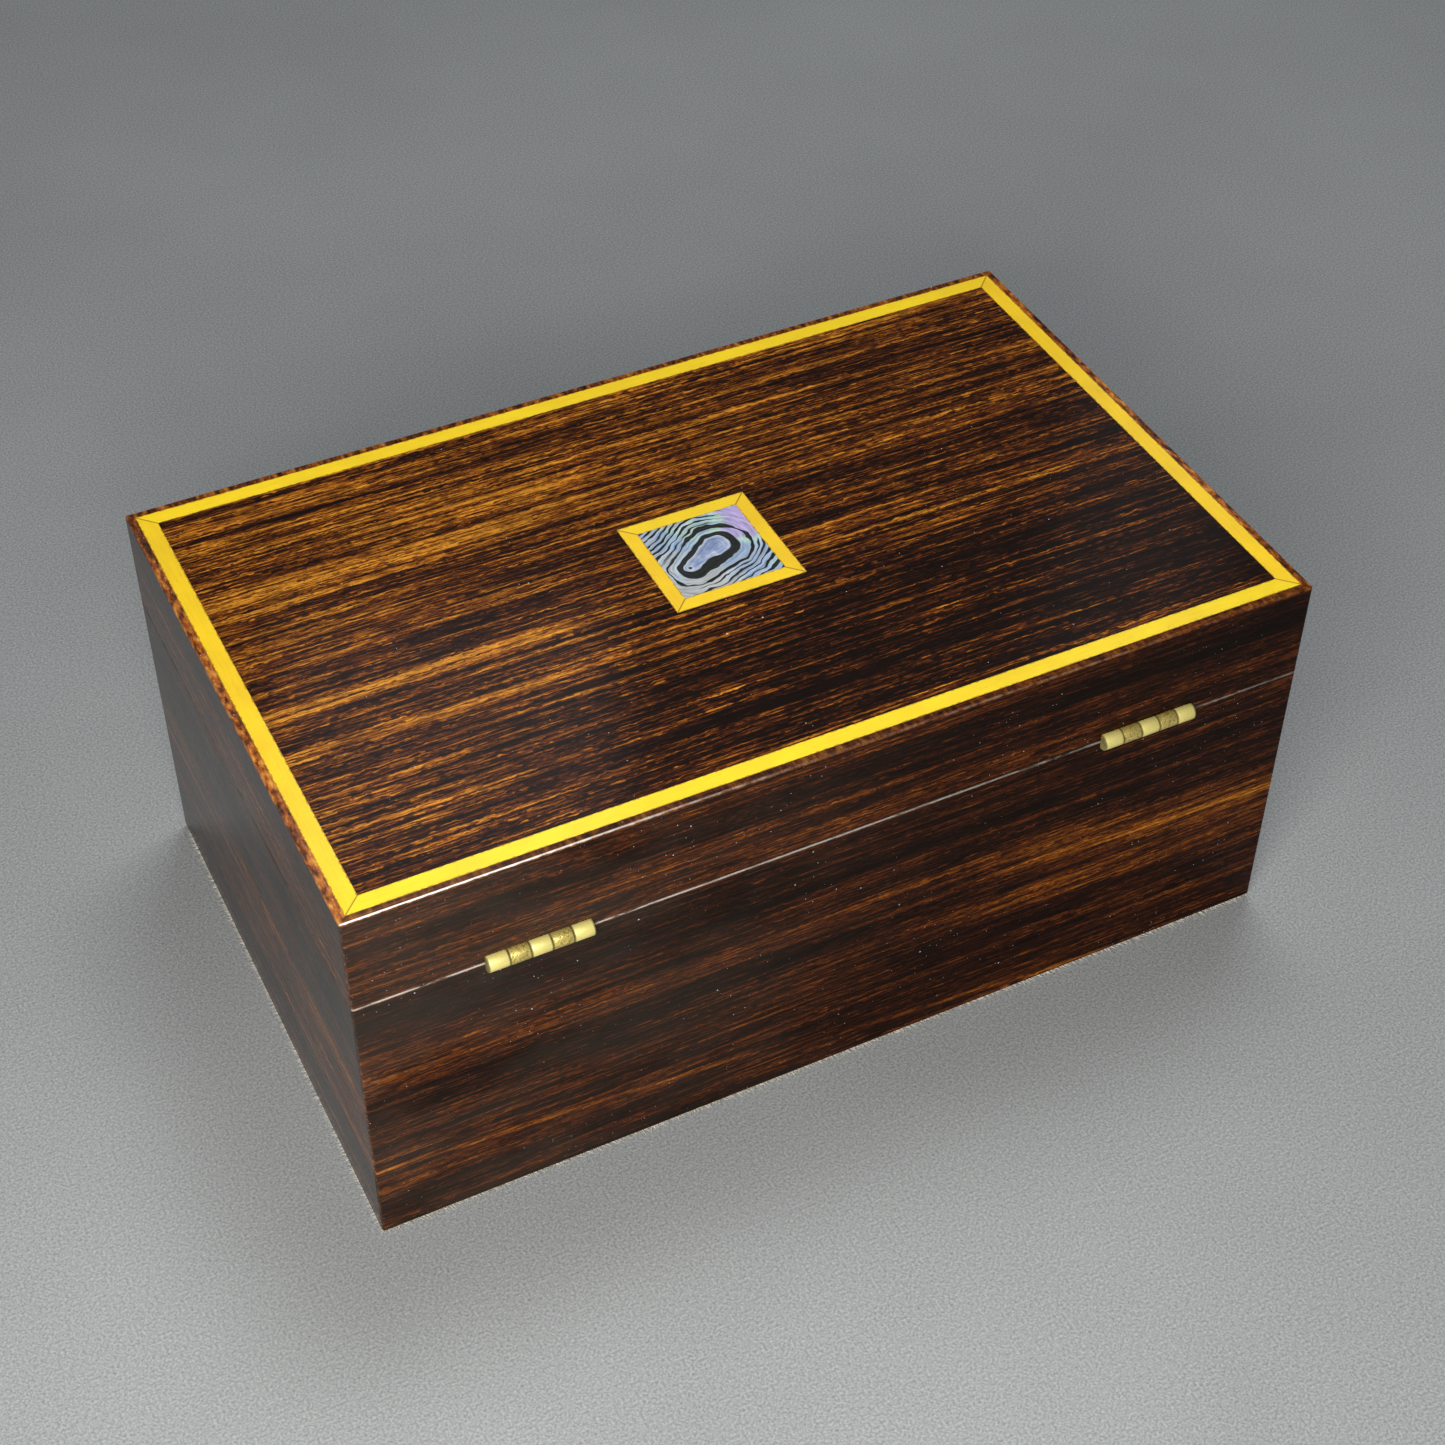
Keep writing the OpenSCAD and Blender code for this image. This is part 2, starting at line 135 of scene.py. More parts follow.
class ClothSettings(bpy.types.PropertyGroup):
    """Felt under the base and velvet inside"""

    felt: colour_prop("Felt", "Felt under the base", "#8d877c")
    fuzz: colour_prop("Felt fuzz", "Loose fibres at the felt's edge", "#ddd6c8")
    velvet: colour_prop("Velvet", "Lining inside the box", "#4a0f1a")
    fibre_length: length_prop("Fibre length", "How far the loose fibres stand out", 1.9 * MM)
    fibre_pitch: length_prop("Fibre spacing", "Distance between loose fibres", 0.22 * MM)


class StageSettings(bpy.types.PropertyGroup):
    """Floor, lights and camera"""

    floor: colour_prop("Floor", "Colour of the paper floor", "#929494")
    floor_size: length_prop("Floor size", "Length of each side of the floor", 8.0)
    lens: FloatProperty(
        name="Lens", description="Focal length of the camera", default=63.95, unit="CAMERA"
    )
    key_power: power_prop("Key light", "Power of the softbox behind the right end", 4.2)
    top_power: power_prop("Top light", "Power of the high softbox", 8.4)
    sheen_power: power_prop("Sheen", "Power of the wide softbox mirrored in the lid", 0.10)
    glint_power: power_prop("Glint", "Power of the narrow softbox mirrored in the lid", 0.04)


# ---- node trees ----


class Graph:
    """Builds one shader node tree."""

    def __init__(self, tree):
        self.tree = tree

    def feed(self, socket, value):
        if isinstance(value, bpy.types.NodeSocket):
            self.tree.links.new(value, socket)
        elif socket.type == "RGBA" and len(value) == 3:
            socket.default_value = (*value, 1)
        else:
            socket.default_value = value

    def node(self, kind, feeds=None, **settings):
        made = self.tree.nodes.new(kind)
        for name, value in settings.items():
            setattr(made, name, value)
        for key, value in (feeds or {}).items():
            self.feed(made.inputs[key], value)
        return made

    def math(self, operation, *values):
        made = self.node("ShaderNodeMath", dict(enumerate(values)), operation=operation)
        return made.outputs[0]

    def add(self, first, *rest):
        for value in rest:
            first = self.math("ADD", first, value)
        return first

    def times(self, first, *rest):
        for value in rest:
            first = self.math("MULTIPLY", first, value)
        return first

    def vector(self, operation, *values):
        made = self.node("ShaderNodeVectorMath", dict(enumerate(values)), operation=operation)
        scalar = operation in ("DOT_PRODUCT", "LENGTH", "DISTANCE")
        return made.outputs["Value" if scalar else "Vector"]

    def split(self, vector):
        return self.node("ShaderNodeSeparateXYZ", {0: vector}).outputs

    def join(self, x, y, z):
        return self.node("ShaderNodeCombineXYZ", {0: x, 1: y, 2: z}).outputs[0]

    def place(self):
        """Place on the object in millimetres"""
        raw = self.node("ShaderNodeTexCoord").outputs["Object"]
        return self.vector("MULTIPLY", raw, (1 / MM, 1 / MM, 1 / MM))

    def stretched(self, vector, stretch, shift):
        feeds = {"Vector": vector, "Scale": stretch, "Location": shift}
        return self.node("ShaderNodeMapping", feeds).outputs[0]

    def noise(self, vector, stretch, detail=2.0, rough=0.5, shift=(0, 0, 0), output="Fac"):
        spot = self.stretched(vector, stretch, shift)
        feeds = {"Vector": spot, "Scale": 1.0, "Detail": detail, "Roughness": rough}
        return self.node("ShaderNodeTexNoise", feeds).outputs[output]

    def cells(self, vector, stretch, shift):
        spot = self.stretched(vector, stretch, shift)
        return self.node("ShaderNodeTexVoronoi", {"Vector": spot, "Scale": 1.0}).outputs

    def span(self, value, low, high, to_low=0.0, to_high=1.0, smooth=True):
        feeds = {0: value, 1: low, 2: high, 3: to_low, 4: to_high}
        kind = "SMOOTHSTEP" if smooth else "LINEAR"
        return self.node("ShaderNodeMapRange", feeds, interpolation_type=kind).outputs[0]

    def centred(self, value):
        """A value that runs from 0 to 1, moved to run round 0"""
        return self.math("SUBTRACT", value, 0.5)

    def clamp(self, value, low, high):
        return self.math("MINIMUM", self.math("MAXIMUM", value, low), high)

    def grey(self, value):
        return self.join(value, value, value)

    def mix(self, share, first, second, blend="MIX"):
        made = self.node("ShaderNodeMix", data_type="RGBA", blend_type=blend)
        for index, value in ((0, share), (6, first), (7, second)):
            self.feed(made.inputs[index], value)
        return made.outputs[2]

    def shaded(self, colour, shade):
        return self.mix(1.0, colour, self.grey(shade), "MULTIPLY")

    def ramp(self, value, stops):
        made = self.node("ShaderNodeValToRGB", {0: value})
        points = made.color_ramp.elements
        while len(points) < len(stops):
            points.new(0.5)
        for point, (at, colour) in zip(points, stops):
            point.position = at
            point.color = (*colour, 1)
        return made.outputs[0]

    def group(self, tree, feeds):
        made = self.node("ShaderNodeGroup", node_tree=tree)
        for key, value in feeds.items():
            self.feed(made.inputs[key], value)
        return made.outputs

    def bump(self, height, strength, distance):
        feeds = {"Height": height, "Strength": strength, "Distance": distance}
        return self.node("ShaderNodeBump", feeds).outputs[0]


def shared_group(name, inputs, outputs, build):
    """A node group that is built once and used by several materials."""
    tree = bpy.data.node_groups.get(name)
    if tree:
        return tree
    tree = bpy.data.node_groups.new(name, "ShaderNodeTree")
    for key, kind in inputs:
        tree.interface.new_socket(key, in_out="INPUT", socket_type="NodeSocket" + kind)
    for key, kind in outputs:
        tree.interface.new_socket(key, in_out="OUTPUT", socket_type="NodeSocket" + kind)
    graph = Graph(tree)
    source = graph.node("NodeGroupInput").outputs
    sink = graph.node("NodeGroupOutput").inputs
    for key, value in build(graph, source).items():
        graph.feed(sink[key], value)
    return tree


def new_material(name, build, **fixed):
    """A Principled material. build returns the sockets that change over the surface."""
    material = bpy.data.materials.new(name)
    material.use_nodes = True
    material.node_tree.nodes.clear()
    graph = Graph(material.node_tree)
    shader = graph.node("ShaderNodeBsdfPrincipled")
    output = graph.node("ShaderNodeOutputMaterial")
    graph.feed(output.inputs["Surface"], shader.outputs[0])
    for key, value in fixed.items():
        graph.feed(shader.inputs[key.replace("_", " ")], value)
    for key, value in build(graph).items():
        graph.feed(shader.inputs[key], value)
    return material


def dress(material, *names):
    """Puts a material on carried-over pieces."""
    for name in names:
        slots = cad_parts[name].data.materials
        slots.clear()
        slots.append(material)


# ---- shared effects ----


def wood_figure():
    """Stripes, pores and flecks of the dark wood. Place is in mm, with the grain along X."""
    wood = bpy.context.scene.puzzle_wood

    def build(g, given):
        spot = given["Place"]
        drift = g.span(g.noise(spot, (0.005, 0.03, 0.03), 2), 0, 1, -2.6, 2.6, False)
        ragged = g.span(g.noise(spot, (0.4, 0.7, 0.7), 2, 0.5, (6, 3, 8)), 0, 1, -0.5, 0.5, False)
        shift = g.add(drift, ragged)
        bent = g.vector("ADD", spot, g.join(0, shift, shift))
        broad = g.noise(bent, (0.0042, 0.12, 0.12), 2, 0.5)
        stripe = g.noise(bent, (0.007, 0.7, 0.7), 3, 0.6, (5, 2, 9))
        line = g.noise(bent, (0.03, 1.7, 1.7), 2, 0.6, (3, 7, 1))
        fleck = g.noise(bent, (0.16, 2.6, 2.6), 2, 0.6, (8, 1, 4))
        tone = g.add(
            g.times(g.centred(broad), given["Bands"]),
            g.times(g.centred(stripe), given["Stripes"]),
            g.times(g.centred(line), given["Lines"]),
            g.times(g.centred(fleck), given["Lines"], 0.9),
            given["Tone"],
        )
        body = g.ramp(
            tone,
            [
                (0.12, wood.black), (0.34, wood.dark), (0.52, wood.middle),
                (0.72, wood.gold), (0.95, wood.pale),
            ],
        )
        dash = g.span(g.noise(bent, (0.2, 2.2, 2.2), 2, 0.6, (1, 3, 6)), 0.53, 0.6)
        short = g.span(g.noise(bent, (0.55, 3.4, 3.4), 1, 0.5, (4, 4, 2)), 0.56, 0.64)
        crowd = g.span(g.noise(bent, (0.02, 0.3, 0.3), 2, 0.5, (9, 5, 3)), 0.3, 0.65, 0.35, 1)
        pores = g.times(g.math("MAXIMUM", dash, g.times(short, 0.7)), crowd, given["Pores"])
        shimmer = g.span(g.noise(bent, (0.09, 0.16, 0.16), 3, 0.6, (2, 9, 5)), 0.3, 0.7, 0.78, 1.25)
        colour = g.mix(pores, g.shaded(body, shimmer), wood.black)
        height = g.math("SUBTRACT", g.times(line, 0.4), pores)
        return {"Colour": colour, "Pores": pores, "Height": height}

    return shared_group(
        "Striped wood",
        [
            ("Place", "Vector"), ("Tone", "Float"), ("Bands", "Float"), ("Stripes", "Float"),
            ("Lines", "Float"), ("Pores", "Float"),
        ],
        [("Colour", "Color"), ("Pores", "Float"), ("Height", "Float")],
        build,
    )


def streak_mask():
    """One soft streak along the grain: 1 in its middle, fading at its sides and ends."""

    def build(g, given):
        along, across, _ = g.split(given["Place"])
        wave = g.centred(g.noise(g.join(along, given["Across"], 0), (0.012, 1, 1), 3))
        wave = g.times(wave, 5.0)
        slant = g.times(along, given["Slope"])
        middle = g.add(given["Across"], slant, g.times(wave, given["Wander"]))
        off = g.math("ABSOLUTE", g.math("SUBTRACT", across, middle))
        off = g.math("DIVIDE", off, given["Width"])
        side = g.span(off, 1.0, 0.15)
        start = g.span(g.math("SUBTRACT", along, given["From"]), -12, 12)
        end = g.span(g.math("SUBTRACT", given["To"], along), -18, 18)
        return {"Mask": g.times(side, start, end)}

    return shared_group(
        "Streak",
        [
            ("Place", "Vector"), ("Across", "Float"), ("Slope", "Float"), ("Width", "Float"),
            ("Wander", "Float"), ("From", "Float"), ("To", "Float"),
        ],
        [("Mask", "Float")],
        build,
    )


def dust_specks():
    """Loose dust and lint, as a mask of small light specks in drifts."""

    def build(g, given):
        spot = given["Place"]
        masks = []
        rare = g.span(given["Amount"], 0, 1, 1.0, 0.45, False)
        for stretch, size, shift in (
            ((0.22, 0.22, 0.22), 0.05, (0, 0, 0)),
            ((0.5, 0.7, 0.5), 0.10, (7, 3, 1)),
            ((1.15, 1.15, 1.4), 0.14, (2, 8, 4)),
        ):
            found = g.cells(spot, stretch, shift)
            chance = g.split(found["Color"])[0]
            limit = g.times(g.span(chance, rare, 1.0, 0.0, 1.0, False), size)
            masks.append(g.math("LESS_THAN", found["Distance"], limit))
        drift = g.span(g.noise(spot, (0.03, 0.03, 0.03), 3, 0.6, (1, 6, 2)), 0.42, 0.62)
        clumped = g.times(g.math("MAXIMUM", masks[1], masks[2]), drift)
        return {"Mask": g.math("MAXIMUM", masks[0], clumped)}

    return shared_group(
        "Dust", [("Place", "Vector"), ("Amount", "Float")], [("Mask", "Float")], build
    )


def edge_wear():
    """Worn outer edges and seam edges, and painted highlights: white lines on the back's top edge
    and seam.
    """

    def build(g, given):
        spot = given["Place"]
        x, y, z = g.split(spot)
        middle_z, half_z = (TOP_Z + BODY[0][2]) / 2 / MM, (TOP_Z - BODY[0][2]) / 2 / MM
        past_end = g.math("SUBTRACT", g.math("ABSOLUTE", x), END_X / MM)
        past_back = g.math("SUBTRACT", g.math("ABSOLUTE", y), BACK_Y / MM)
        past_rim = g.math("SUBTRACT", g.math("ABSOLUTE", g.math("SUBTRACT", z, middle_z)), half_z)
        from_seam = g.math("ABSOLUTE", g.math("SUBTRACT", z, SEAM_Z / MM))
        level = g.math("MAXIMUM", past_rim, g.math("SUBTRACT", HALF_SEAM, from_seam))
        upright = g.math("MINIMUM", past_end, past_back)
        outer = g.math("MAXIMUM", past_end, past_back)
        near = g.math("MAXIMUM", upright, g.math("MINIMUM", outer, level))
        rough = g.span(g.noise(spot, (0.5, 0.5, 0.5), 4, 0.65), 0.3, 0.7, -0.25, 0.2, False)
        edge = g.span(g.add(near, rough), g.math("MULTIPLY", given["Width"], -1.0), 0.0)
        patch = g.span(g.noise(spot, (0.05, 0.05, 0.05), 3, 0.6), 0.35, 0.62)
        # Painted highlights on the back only: a white line along the top edge fading from the right
        # end, and a broken line along the seam
        back = g.span(y, BACK_Y / MM - 0.5, BACK_Y / MM - 0.3)
        arris = g.times(
            g.span(g.add(z, g.times(rough, 0.3)), TOP_Z / MM - 0.27, TOP_Z / MM - 0.12),
            g.span(g.add(x, g.times(rough, 40)), 10, 95),
        )
        thin = g.span(from_seam, 0.32, 0.14)
        broken = g.span(g.noise(spot, (0.16, 0.9, 0.9), 3, 0.6, (4, 2, 2)), 0.36, 0.56)
        seam_line = g.times(thin, broken, g.span(x, -100, 60, 0.18, 0.7, False))
        return {
            "Edges": g.times(edge, g.add(0.35, g.times(patch, 0.65))),
            "Rubbed": g.times(back, g.math("MAXIMUM", arris, seam_line)),
        }

    return shared_group(
        "Edge wear",
        [("Place", "Vector"), ("Width", "Float")],
        [("Edges", "Float"), ("Rubbed", "Float")],
        build,
    )


# ---- striped wood ----

# Streaks: across, slope, half width, wander, from, to, tone. Lengths in mm, from and to along X.
BACK_STREAKS = (
    (46.0, 0.06, 9.0, 0.8, -125, -35, 0.20),
    (44.0, 0.055, 1.3, 0.5, -125, -45, 0.16),
    (45.0, 0.075, 5.0, 0.5, 40, 125, 0.06),
    (42.0, 0.075, 1.0, 0.4, 55, 125, 0.10),
    (11.5, 0.085, 1.2, 0.3, 20, 125, 0.24),
    (15.5, 0.085, 0.8, 0.3, 60, 125, 0.18),
    (22.0, 0.05, 1.6, 0.4, -20, 125, 0.08),
    (8.0, 0.10, 1.2, 0.3, -125, 0, 0.2),
    (29.0, 0.07, 6.0, 0.5, -30, 90, -0.08),
    (28.0, 0.07, 5.0, 0.5, -100, -10, -0.12),
    (60.0, 0.02, 4.0, 0.5, -60, 60, -0.06),
    (90.0, 0.0, 5.0, 0.4, -125, 40, -0.10),
)
TOP_STREAKS = (
    (-34.0, 0.01, 14.0, 0.8, 20, 125, 0.12),
    (-38.0, 0.0, 3.0, 0.6, -30, 70, 0.12),
    (-26.0, 0.02, 1.6, 0.6, 10, 125, 0.08),
    (-15.0, 0.02, 1.4, 0.5, 0, 125, 0.16),
    (-44.0, 0.01, 1.2, 0.5, -60, 110, 0.12),
    (-12.0, 0.0, 6.0, 0.6, -60, 30, -0.05),
    (-3.0, 0.01, 4.0, 0.5, 0, 85, -0.12),
    (9.5, 0.01, 2.0, 0.4, -125, 10, 0.17),
    (3.0, 0.01, 1.0, 0.4, -125, -20, 0.10),
    (8.0, 0.01, 3.0, 0.5, 25, 125, 0.11),
    (20.0, 0.02, 5.0, 0.5, 35, 125, 0.13),
    (26.0, 0.0, 1.4, 0.5, 0, 125, 0.12),
    (46.0, 0.0, 2.0, 0.5, 55, 125, 0.14),
    (38.0, 0.0, 1.0, 0.5, 40, 125, 0.10),
    (30.0, 0.02, 9.0, 0.6, -125, 0, -0.06),
    (48.0, 0.0, 12.0, 0.6, -125, 30, -0.12),
    (-53.0, 0.0, 4.0, 0.5, -125, 125, -0.07),
)
FRONT_STREAKS = (
    (30.0, -0.05, 4.5, 0.6, -125, 20, 0.18),
    (52.0, -0.03, 3.0, 0.5, 0, 125, 0.16),
    (18.0, -0.07, 5.0, 0.5, 10, 125, -0.12),
    (66.0, 0.0, 5.0, 0.5, -125, 0, -0.08),
)
END_STREAKS = (
    (38.0, 0.04, 3.0, 0.6, -80, 60, 0.12),
    (20.0, 0.06, 2.2, 0.5, -20, 80, 0.12),
    (62.0, 0.0, 5.0, 0.5, -80, 80, -0.08),
)

# Mean tone, and the strength of each scale of the figure
SIDE_LOOK = {"Tone": 0.30, "Bands": 0.8, "Stripes": 0.8, "Lines": 0.9, "Pores": 0.6}
END_LOOK = {**SIDE_LOOK, "Tone": 0.36}
TOP_LOOK = {"Tone": 0.41, "Bands": 0.5, "Stripes": 1.5, "Lines": 1.5, "Pores": 0.85}

# How far along its grain the front is from the back's figure, in mm, so that the two differ
FRONT_SHIFT = 400


def streaks(g, place, rows):
    total = 0.0
    for across, slope, width, wander, start, end, tone in rows:
        feeds = {
            "Place": place, "Across": across, "Slope": slope, "Width": width,
            "Wander": wander, "From": start, "To": end,
        }
        mask = g.group(streak_mask(), feeds)["Mask"]
        total = g.add(total, g.times(mask, tone))
    return total


def striped_material(name, grain, rows, look, dust, gloss=1.0, rim=0.0, haze=0.0, shade=None):
    """Lacquered striped wood. grain turns a place into one with the grain along X."""
    wood = bpy.context.scene.puzzle_wood

    def build(g):
        place = g.place()
        laid = g.join(*grain(g, *g.split(place)))
        level = g.add(streaks(g, laid, rows), look["Tone"])
        if shade:
            level = g.add(level, shade(g, place))
        figure = g.group(wood_figure(), {**look, "Place": laid, "Tone": level})
        colour = figure["Colour"]
        if rim:
            colour = rim_figure(g, place, colour, rim)
        # Grey film toward the right end: partly dust, partly a painted reflection of the floor
        if haze:
            film = g.span(g.noise(place, (0.02, 0.04, 0.04), 3, 0.6, (6, 6, 3)), 0.25, 0.7)
            toward = g.span(g.split(place)[0], -40, 100)
            colour = g.mix(g.times(film, toward, haze), colour, linear(HAZE))
        wear = g.group(edge_wear(), {"Place": place, "Width": 0.45})
        colour = g.mix(g.times(wear["Edges"], 0.55), colour, linear(RUBBED_EDGE))
        # Painted highlight lines on the back's top edge and seam
        colour = g.mix(wear["Rubbed"], colour, linear(RUBBED_LINE))
        specks = g.group(dust_specks(), {"Place": place, "Amount": dust})["Mask"]
        colour = g.mix(specks, colour, linear(DUST_ON_WOOD))
        rough = g.add(0.42, g.times(figure["Pores"], 0.2), g.times(specks, 0.3))
        return {
            "Base Color": colour,
            "Roughness": rough,
            "Coat Weight": g.span(specks, 0, 1, wood.lacquer * gloss, 0.05, False),
            "Normal": g.bump(figure["Height"], 0.25, 0.00006),
        }

    return new_material(
        name, build, Coat_Roughness=wood.lacquer_roughness, Coat_IOR=1.5, Specular_IOR_Level=0.03
    )


def rim_figure(g, place, colour, amount):
    """The rails' top edges show short figured grain."""
    z = g.split(place)[2]
    rim = g.times(g.span(z, TOP_Z / MM - 0.7, TOP_Z / MM - 0.45), amount)
    curl = g.noise(place, (0.9, 0.35, 0.9), 4, 0.65, (3, 1, 2))
    patch = g.noise(place, (0.06, 0.06, 0.06), 2, 0.5, (9, 2, 2))
    tone = g.add(g.times(g.centred(curl), 2.2), g.centred(patch), 0.5)
    warm = g.ramp(
        tone,
        [
            (0.1, linear("#1c0d06")), (0.4, linear("#5e2c0c")),
            (0.65, linear("#a3581a")), (1.0, linear("#d79640")),
        ],
    )
    return g.mix(rim, colour, warm)


def grain_back(g, x, y, z):
    return x, z, y


def grain_front(g, x, y, z):
    return g.add(x, FRONT_SHIFT), z, y


def grain_end(g, x, y, z):
    return y, z, x


def grain_top(g, x, y, z):
    return x, y, z


class PUZZLEBOX_OT_back_boards(bpy.types.Operator):
    """Back of the box and the lid's rear rail, sawn from one board"""

    bl_idname = "puzzlebox.back_boards"
    bl_label = "Back boards"

    def execute(self, context):
        material = striped_material(
            "back_wood", grain_back, BACK_STREAKS, SIDE_LOOK,
            dust=0.45, gloss=0.25, rim=0.25, haze=0.12,
        )
        dress(material, "rear_wall", "lid_rear_rail")
        return {"FINISHED"}


class PUZZLEBOX_OT_front_boards(bpy.types.Operator):
    """Sliding front panel, the fixed board behind it and the lid's front rail"""

    bl_idname = "puzzlebox.front_boards"
    bl_label = "Front boards"

    def execute(self, context):
        rows = [
            (*row[:4], row[4] + FRONT_SHIFT, row[5] + FRONT_SHIFT, row[6]) for row in FRONT_STREAKS
        ]
        material = striped_material(
            "front_wood", grain_front, rows, SIDE_LOOK, dust=0.4, gloss=0.6, rim=0.7
        )
        dress(material, "key_panel", "lid_front_rail", "front_core")
        return {"FINISHED"}


class PUZZLEBOX_OT_end_boards(bpy.types.Operator):
    """Both ends of the box and the lid's end rails"""

    bl_idname = "puzzlebox.end_boards"
    bl_label = "End boards"

    def execute(self, context):
        material = striped_material(
            "end_wood", grain_end, END_STREAKS, END_LOOK, dust=1.0, rim=1.0, haze=0.12
        )
        dress(material, "right_wall", "left_wall", "lid_right_rail", "lid_left_rail")
        return {"FINISHED"}


def top_shade(g, place):
    """Makes the top lighter to the front right and darker to the rear left."""
    x, y, _ = g.split(place)
    return g.clamp(g.add(g.times(x, 0.0010), g.times(y, -0.0024)), -0.19, 0.1)


class PUZZLEBOX_OT_top_veneer(bpy.types.Operator):
    """Striped veneer on top of the lid"""

    bl_idname = "puzzlebox.top_veneer"
    bl_label = "Top veneer"

    def execute(self, context):
        material = striped_material(
            "top_wood", grain_top, TOP_STREAKS, TOP_LOOK, dust=0.1, gloss=0.7, shade=top_shade
        )
        dress(material, "top_veneer")
        return {"FINISHED"}


# ---- yellow strips ----


def joint_lines(g, place, half_x, half_y, width):
    """Thin dark glue lines at a mitred frame's corners and along both edges of its strips."""
    x, y, _ = g.split(place)
    in_x = g.math("SUBTRACT", half_x, g.math("ABSOLUTE", x))
    in_y = g.math("SUBTRACT", half_y, g.math("ABSOLUTE", y))
    mitre = g.span(g.math("ABSOLUTE", g.math("SUBTRACT", in_x, in_y)), 0.34, 0.1)
    depth = g.math("MINIMUM", in_x, in_y)
    side = g.math("MINIMUM", depth, g.math("SUBTRACT", width, depth))
    uneven = g.span(g.noise(place, (0.8, 0.8, 0.8), 3, 0.6, (1, 1, 5)), 0.35, 0.65, 0.06, 0.32)
    edge = g.span(g.math("SUBTRACT", side, uneven), 0.06, -0.1)
    return g.math("MAXIMUM", g.times(mitre, 0.7), g.times(edge, 0.6))


def strip_material(name, colour, along_x, outline, width):
    """Dyed and lacquered strip with a faint grain along its length."""
    wood = bpy.context.scene.puzzle_wood

    def build(g):
        place = g.place()
        x, y, z = g.split(place)
        laid = g.join(x, y, z) if along_x else g.join(y, x, z)
        grain = g.noise(laid, (0.12, 2.4, 2.4), 3, 0.6)
        cloud = g.noise(place, (0.1, 0.1, 0.1), 3, 0.55, (4, 2, 1))
        tone = g.add(
            1.0,
            g.times(g.centred(grain), 0.22),
            g.times(g.centred(cloud), 0.3),
        )
        tinted = g.mix(1.0, colour, g.join(tone, g.math("POWER", tone, 1.3), tone), "MULTIPLY")
        specks = g.span(g.noise(laid, (0.6, 2.2, 2.2), 2, 0.5, (7, 7, 7)), 0.69, 0.76)
        tinted = g.mix(g.times(specks, 0.25), tinted, linear("#8a5208"))
        tinted = g.mix(joint_lines(g, place, *outline, width), tinted, linear(GLUE_LINE))
        dust = g.group(dust_specks(), {"Place": place, "Amount": 0.3})["Mask"]
        return {
            "Base Color": g.mix(dust, tinted, linear(DUST_ON_YELLOW)),
            "Roughness": g.span(grain, 0.2, 0.8, 0.36, 0.5, False),
            "Normal": g.bump(grain, 0.12, 0.00004),
        }

    return new_material(
        name, build, Coat_Weight=0.8, Coat_Roughness=wood.lacquer_roughness, Specular_IOR_Level=0.25
    )


class PUZZLEBOX_OT_stringing(bpy.types.Operator):
    """Yellow stringing round the lid and the frame round the shell"""

    bl_idname = "puzzlebox.stringing"
    bl_label = "Stringing"

    def execute(self, context):
        trim = context.scene.puzzle_trim
        for kind in ("stringing", "frame_strip"):
            low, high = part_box(f"rear_{kind}")
            outline = (high[0] / MM, high[1] / MM)
            width = (high[1] - low[1]) / MM
            for side in ("front", "rear", "left", "right"):
                colour = getattr(trim, f"{side}_strip" if kind == "stringing" else f"{side}_frame")
                along_x = side in ("front", "rear")
                name = f"{side}_{kind}"
                dress(strip_material(name, colour, along_x, outline, width), name)
        return {"FINISHED"}


# ---- shell ----


